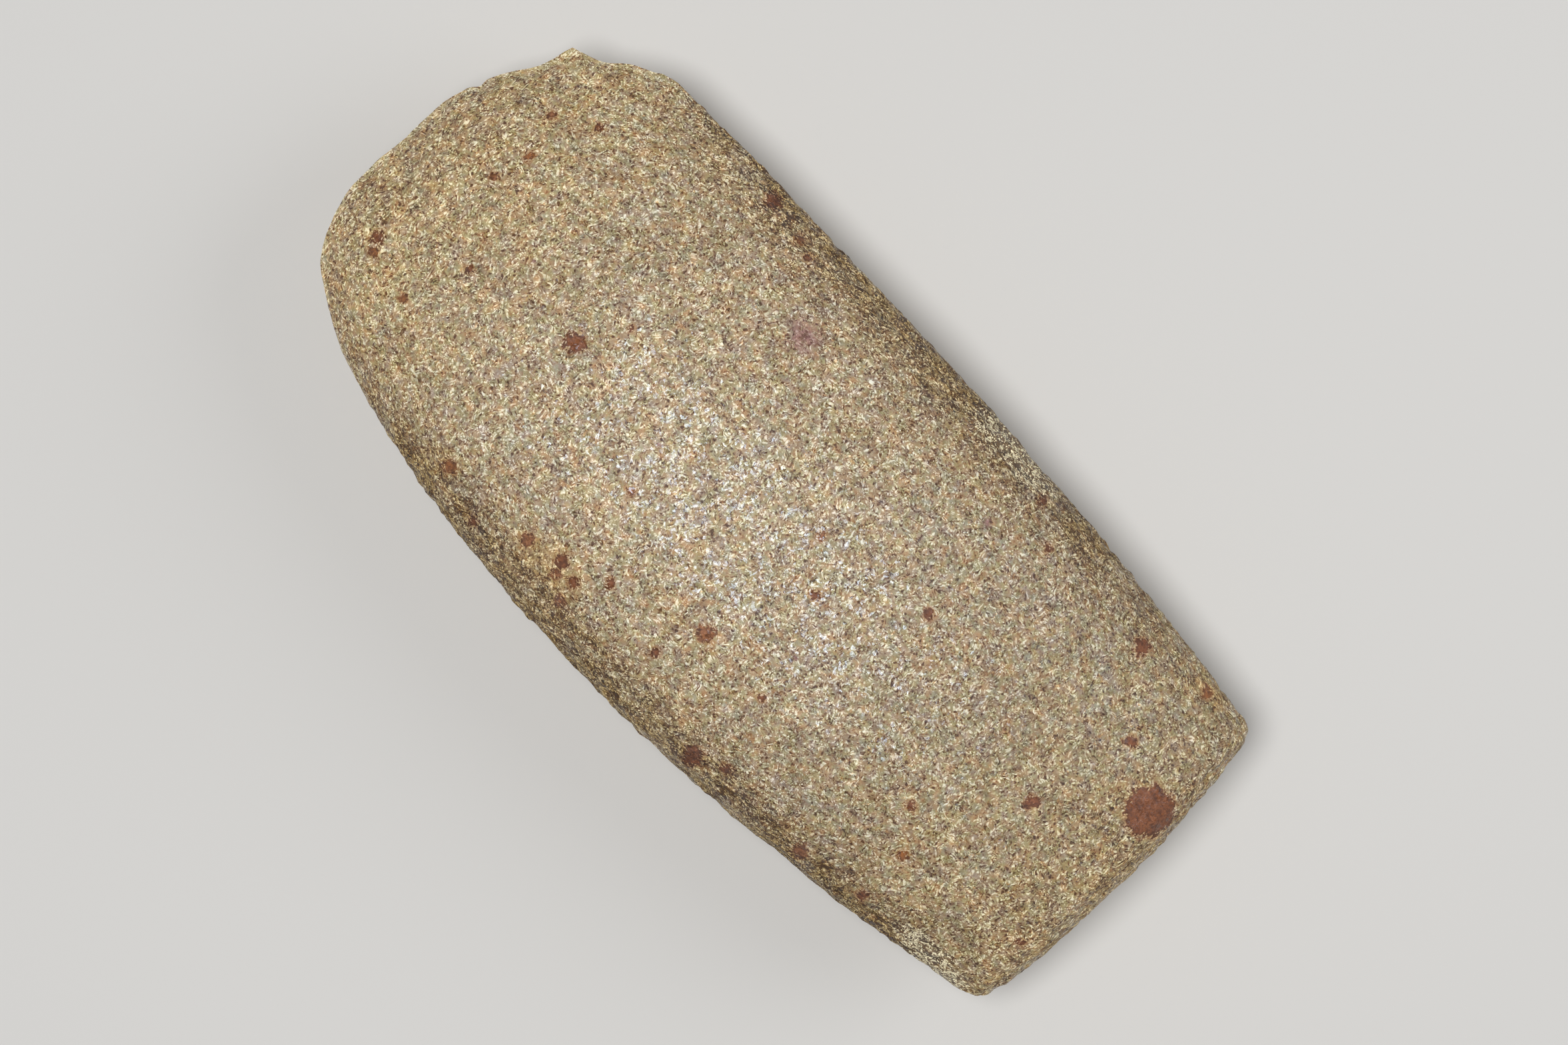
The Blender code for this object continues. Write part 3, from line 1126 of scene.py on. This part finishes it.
@dataclass
class AxeHead:
    """The ground stone head. Lengths are in mm and angles in radians."""

    node: str = "axe_head"
    crease_angle: float = math.radians(32)
    join_angle: float = math.radians(30)
    merge: float = 0.002
    levels: int = 2
    relief: Relief = field(default_factory=Relief)
    finish: StoneFinish = field(default_factory=StoneFinish)
    wear: tuple[Wear, ...] = (
        Wear(58.2, -10.3, 1.3, 0.55),
        Wear(56.6, -16.4, 3.0, 0.25),
        Wear(59.6, -0.5, 6.0, 0.32),
        Wear(59.3, 8.6, 2.5, -0.15),
        Wear(55.8, 17.0, 5.0, -0.35, 40.0),
        Wear(40.0, 25.5, 14.0, -0.15, 90.0),
        Wear(45.5, -26.9, 3.2, 0.55, -45.0),
        Wear(50.5, -23.5, 2.5, 0.20, -20.0),
        Wear(-17.6, -27.2, 4.5, 0.25, -90.0),
        Wear(-30.0, 26.0, 4.0, 0.25, 90.0),
        Wear(-40.0, 24.0, 4.0, -0.15, 90.0),
        Wear(-59.5, 3.0, 9.0, 0.18, 180.0),
        Wear(-57.5, -23.5, 3.0, -0.15, 200.0),
    )
    grains: tuple[Grain, ...] = (
        Grain(-55.1, -9.0, 2.9),
        Grain(10.9, -17.3, 2.6, Tone.PLUM),
        Grain(28.1, 1.9, 1.15),
        Grain(-6.0, 13.6, 1.05, Tone.RUST),
        Grain(52.9, 10.0, 0.85),
        Grain(52.0, 11.6, 0.5, Tone.ORANGE),
        Grain(24.8, -25.7, 0.9),
        Grain(-41.1, -21.3, 0.9),
        Grain(-47.7, -12.8, 0.65),
        Grain(-44.8, 0.0, 0.75),
        Grain(-15.0, 24.5, 1.2),
        Grain(-31.3, 23.1, 0.8, Tone.RUST),
        Grain(-50.3, -23.1, 0.65, Tone.ORANGE),
        Grain(15.6, 21.3, 0.8, Tone.RUST),
        Grain(11.3, 20.0, 0.7),
        Grain(10.7, 21.4, 0.6, Tone.RUST),
        Grain(8.6, 20.7, 0.6),
        Grain(8.2, 23.4, 0.6, Tone.RUST),
        Grain(5.6, 17.6, 0.5),
        Grain(21.7, 24.4, 0.5),
        Grain(28.0, 21.9, 0.8, Tone.ORANGE),
        Grain(-18.6, -17.9, 0.55, Tone.PLUM),
        Grain(-21.4, -6.2, 0.6),
        Grain(-11.1, 1.8, 0.5),
        Grain(-6.8, -3.4, 0.45, Tone.RUST),
        Grain(24.8, -3.7, 0.3),
        Grain(47.4, -8.8, 0.55, Tone.ORANGE),
        Grain(48.5, -4.3, 0.4, Tone.RUST),
        Grain(49.3, -14.0, 0.4, Tone.RUST),
        Grain(44.5, -16.8, 0.4),
        Grain(42.5, 4.9, 0.4),
        Grain(38.1, -1.0, 0.4, Tone.PLUM),
        Grain(45.6, 12.8, 0.4, Tone.ORANGE),
        Grain(17.2, -23.9, 0.4),
        Grain(19.4, -24.8, 0.55, Tone.ORANGE),
        Grain(13.2, 2.9, 0.45, Tone.PLUM),
        Grain(11.5, 8.8, 0.45, Tone.RUST),
        Grain(-3.5, 19.3, 0.45),
        Grain(-21.2, -24.5, 0.5),
        Grain(-25.4, -21.1, 0.4),
        Grain(-35.8, 10.2, 0.5),
        Grain(-14.7, 8.1, 0.4, Tone.PLUM),
        Grain(-15.4, 14.0, 0.4),
        Grain(-18.6, 22.7, 0.5),
        Grain(-39.3, 14.7, 0.5, Tone.ORANGE),
        Grain(-39.8, 21.4, 0.5),
        Grain(-55.9, 11.9, 0.35),
    )
    scuffs: tuple[Patch, ...] = (
        Patch(-15.0, -26.0, 8.5, 2.8),
        Patch(-51.2, 20.8, 8.0, 2.4),
    )
    stains: tuple[Patch, ...] = (
        Patch(12.0, 22.0, 8.0, 3.6),
        Patch(29.0, 22.5, 4.5, 2.6),
        Patch(-15.0, 25.5, 6.0, 2.6),
        Patch(-31.0, 24.0, 4.5, 2.0),
        Patch(-50.5, -23.5, 4.0, 2.0),
        Patch(19.0, -25.0, 7.0, 2.2),
        Patch(-59.0, -3.0, 2.6, 11.0),
    )
    patch_steepness: float = 1.7
    patch_below: float = 2.0
    belly_seed: int = 7
    belly_grain_count: int = 34
    belly_margin: float = 4.0
    belly_least: float = 0.35
    belly_spread: float = 0.9
    belly_rarity: int = 3

    def build(self) -> bpy.types.Object:
        """Make the finished stone and hand it to the frame.

        Returns:
            The object that stands for the solid.
        """
        stone = self._cage()
        self._refine(stone)
        self._wear_rim(stone.data)
        self._keep_in_box(stone.data)
        self._mark_grains(stone.data)
        self._mark_patches(stone.data, Trace.CHALK, self.scuffs)
        self._mark_patches(stone.data, Trace.STAIN, self.stains)
        stone.data.shade_smooth()
        stone.data.set_sharp_from_angle(angle=self.crease_angle)
        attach(stone, "root")
        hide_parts(self.node)
        return stone

    def _cage(self) -> bpy.types.Object:
        """Join the solid up as a cage of quads, with its sharp edges creased.

        Returns:
            The cage, as an object of its own.
        """
        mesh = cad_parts[self.node].data.copy()
        cage = bmesh.new()
        cage.from_mesh(mesh)
        bmesh.ops.remove_doubles(cage, verts=cage.verts, dist=self.merge * MM)
        bmesh.ops.join_triangles(
            cage,
            faces=cage.faces,
            angle_face_threshold=self.join_angle,
            angle_shape_threshold=math.pi,
        )
        crease = cage.edges.layers.float.new("crease_edge")
        for edge in cage.edges:
            if len(edge.link_faces) == 2 and edge.calc_face_angle() > self.crease_angle:
                edge[crease] = 1.0
        cage.to_mesh(mesh)
        cage.free()
        mesh.materials.clear()
        stone = bpy.data.objects.new("ground_stone", mesh)
        bpy.context.scene.collection.objects.link(stone)
        return stone

    def _refine(self, stone: bpy.types.Object) -> None:
        """Smooth the cage, sink its relief, and keep the outcome as a plain mesh.

        Args:
            stone: The cage, whose mesh is replaced.
        """
        smooth = stone.modifiers.new("smooth", "SUBSURF")
        smooth.levels = self.levels
        smooth.render_levels = self.levels
        self.relief.apply(stone, self.finish.material())
        shown = stone.evaluated_get(bpy.context.evaluated_depsgraph_get())
        mesh = bpy.data.meshes.new_from_object(shown)
        stone.modifiers.clear()
        stone.data = mesh
        LOG.info("refined stone: %d faces", len(mesh.polygons))

    def _wear_rim(self, mesh: bpy.types.Mesh) -> None:
        """Draw the rim in, or out, at each worn place, less and less away from its middle.

        Args:
            mesh: The stone's mesh.
        """
        points = self._points(mesh)
        for place in self.wear:
            share = np.hypot(points[:, 0] - place.x, points[:, 1] - place.y) / place.reach
            drawn = place.depth * np.cos(np.clip(share, 0.0, 1.0) * math.pi / 2) ** 2
            heading = math.radians(place.heading)
            points[:, 0] -= drawn * math.cos(heading)
            points[:, 1] -= drawn * math.sin(heading)
        self._set_points(mesh, points)

    def _mark_grains(self, mesh: bpy.types.Mesh) -> None:
        """Keep, at each face's corners, the way from the nearest rust grain in radii, and its tone.

        Args:
            mesh: The stone's mesh.
        """
        points = self._points(mesh)
        faces = len(mesh.polygons)
        owner = np.repeat(np.arange(faces), self._gathered(mesh.polygons, "loop_total", 1, int))
        corner_point = points[self._gathered(mesh.loops, "vertex_index", 1, int)]
        middle = self._gathered(mesh.polygons, "center", 3) / MM
        upper = middle[:, 2] > self._middle_height()
        best = np.full(faces, np.inf)
        chosen = np.zeros((faces, 4))
        for grains, side in ((self.grains, upper), (self._belly_grains(), ~upper)):
            for grain in grains:
                away = np.hypot(middle[:, 0] - grain.x, middle[:, 1] - grain.y) / grain.radius
                nearer = side & (away < best)
                best[nearer] = away[nearer]
                chosen[nearer] = (grain.x, grain.y, grain.radius, grain.tone.value)
        chosen = chosen[owner]
        offset = (corner_point[:, :2] - chosen[:, :2]) / chosen[:, 2:3]
        layer = mesh.attributes.new(Trace.RUST.value, "FLOAT_VECTOR", "CORNER")
        layer.data.foreach_set("vector", np.column_stack([offset, chosen[:, 3]]).astype(np.float32).ravel())
        layer = mesh.attributes.new(Trace.RUST_SIZE.value, "FLOAT", "CORNER")
        layer.data.foreach_set("value", chosen[:, 2].astype(np.float32))

    def _belly_grains(self) -> tuple[Grain, ...]:
        """Scatter rust grains over the lower face, which the photograph doesn't show.

        Returns:
            The grains, most of them small.
        """
        random = np.random.default_rng(self.belly_seed)
        low, high = (np.array(corner) / MM for corner in CAD_BOX)
        grains = []
        for _ in range(self.belly_grain_count):
            x, y = random.uniform(low[:2] + self.belly_margin, high[:2] - self.belly_margin)
            tone = list(Tone)[random.integers(len(Tone))]
            radius = self.belly_least + self.belly_spread * random.random() ** self.belly_rarity
            grains.append(Grain(x, y, radius, tone))
        return tuple(grains)

    def _mark_patches(self, mesh: bpy.types.Mesh, trace: Trace, patches: tuple[Patch, ...]) -> None:
        """Keep how deep in a patch each point is, from 0 at its border to 1.

        Args:
            mesh: The stone's mesh.
            trace: What the mark is called.
            patches: The patches, all on the upper face.
        """
        points = self._points(mesh)
        depth = np.zeros(len(points))
        for patch in patches:
            along = (points[:, 0] - patch.x) / patch.along
            across = (points[:, 1] - patch.y) / patch.across
            inward = self.patch_steepness * (1.0 - np.hypot(along, across))
            depth = np.maximum(depth, np.clip(inward, 0.0, 1.0))
        depth *= points[:, 2] > self._middle_height() - self.patch_below
        self._store_points(mesh, trace, depth)

    def _keep_in_box(self, mesh: bpy.types.Mesh) -> None:
        """Hold the finished stone within the solid's own box."""
        low, high = (np.array(corner) / MM for corner in CAD_BOX)
        self._set_points(mesh, np.clip(self._points(mesh), low, high))

    @staticmethod
    def _middle_height() -> float:
        """Height of the middle of the stone above the floor, in mm."""
        return (CAD_BOX[0].z + CAD_BOX[1].z) / 2 / MM

    @staticmethod
    def _gathered(
        items: bpy.types.bpy_prop_collection, name: str, width: int, kind: type = float
    ) -> np.ndarray:
        """Read one property of every item.

        Args:
            items: The items, such as a mesh's points.
            name: The property's name.
            width: How many numbers it holds.
            kind: Their type.

        Returns:
            An array with a row for each item, or flat where the property is one number.
        """
        flat = np.empty(len(items) * width, dtype=kind)
        items.foreach_get(name, flat)
        return flat if width == 1 else flat.reshape(-1, width)

    @classmethod
    def _points(cls, mesh: bpy.types.Mesh) -> np.ndarray:
        """The mesh's points, in mm."""
        return cls._gathered(mesh.vertices, "co", 3) / MM

    @staticmethod
    def _set_points(mesh: bpy.types.Mesh, points: np.ndarray) -> None:
        """Move the mesh's points, given in mm."""
        mesh.vertices.foreach_set("co", (points * MM).ravel())
        mesh.update()

    @staticmethod
    def _store_points(mesh: bpy.types.Mesh, trace: Trace, values: np.ndarray) -> None:
        """Keep one value for each point."""
        layer = mesh.attributes.new(trace.value, "FLOAT", "POINT")
        layer.data.foreach_set("value", values.astype(np.float32))


@dataclass
class Studio:
    """Floor, lights and camera. Lengths are in metres and powers in watts."""

    floor_size: float = 1.6
    key_power: float = 4.9
    key_size: float = 0.27
    key_height: float = 0.85
    key_lead: float = 0.06
    key_aside: float = 0.08
    fill_power: float = 1.1
    fill_size: float = 0.5
    fill_place: tuple[float, float, float] = (-0.32, -0.45, 0.45)
    sky_strength: float = 0.15
    sky_colour: Colour = (1.0, 1.0, 1.0)
    image_width: int = 2353
    pixels_per_mm: float = 12.98
    look_at: tuple[float, float] = (-0.0028, -0.0013)
    turn: float = math.radians(226.65)
    lens: float = 100.0
    sensor: float = 36.0

    def build(self) -> None:
        """Set the floor, the lights and the camera."""
        self._floor()
        self._light("key", self.key_power, self.key_size, (self.key_lead, self.key_aside, self.key_height))
        self._light("fill", self.fill_power, self.fill_size, self.fill_place)
        self._sky()
        self._camera()
        bpy.context.scene.view_settings.view_transform = "Standard"

    def _floor(self) -> None:
        """Plain pale floor under the head."""
        mesh = bpy.data.meshes.new("floor")
        form = bmesh.new()
        bmesh.ops.create_grid(form, x_segments=1, y_segments=1, size=self.floor_size / 2)
        form.to_mesh(mesh)
        form.free()
        mesh.materials.append(FloorFinish().material())
        floor = bpy.data.objects.new("floor", mesh)
        bpy.context.scene.collection.objects.link(floor)

    @staticmethod
    def _light(name: str, power: float, size: float, place: tuple[float, float, float]) -> None:
        """Round soft light that looks at the head.

        Args:
            name: What the light is called.
            power: Its power in watts.
            size: Its width across, in metres.
            place: Where it hangs.
        """
        lamp = bpy.data.lights.new(name, "AREA")
        lamp.shape = "DISK"
        lamp.size = size
        lamp.energy = power
        light = bpy.data.objects.new(name, lamp)
        light.location = place
        light.rotation_euler = (-light.location).to_track_quat("-Z", "Y").to_euler()
        bpy.context.scene.collection.objects.link(light)

    def _sky(self) -> None:
        """Even pale surroundings."""
        world = bpy.data.worlds.new("studio")
        bpy.context.scene.world = world
        world.use_nodes = True
        bench = Bench(world.node_tree)
        sockets = {"Color": self.sky_colour, "Strength": self.sky_strength}
        sky = bench.node("ShaderNodeBackground", {}, sockets)
        bench.node("ShaderNodeOutputWorld", {}, {"Surface": sky.outputs["Background"]})

    def _camera(self) -> None:
        """Look straight down, turned so that the head lies slantwise as photographed."""
        lens = bpy.data.cameras.new("camera")
        lens.lens = self.lens
        lens.sensor_width = self.sensor
        camera = bpy.data.objects.new("camera", lens)
        covered = self.image_width / self.pixels_per_mm * MM
        middle = (CAD_BOX[0].z + CAD_BOX[1].z) / 2
        camera.location = (*self.look_at, middle + covered * self.lens / self.sensor)
        camera.rotation_euler = (0.0, 0.0, self.turn)
        bpy.context.scene.collection.objects.link(camera)
        bpy.context.scene.camera = camera


def main() -> None:
    """Build the studio and the head, and report each piece."""
    logging.basicConfig(level=logging.INFO, format="%(message)s")
    Studio().build()
    stone = AxeHead().build()
    LOG.info("%s: %d triangles", stone.name, sum(len(p.vertices) - 2 for p in stone.data.polygons))


if __name__ == "__main__":
    main()
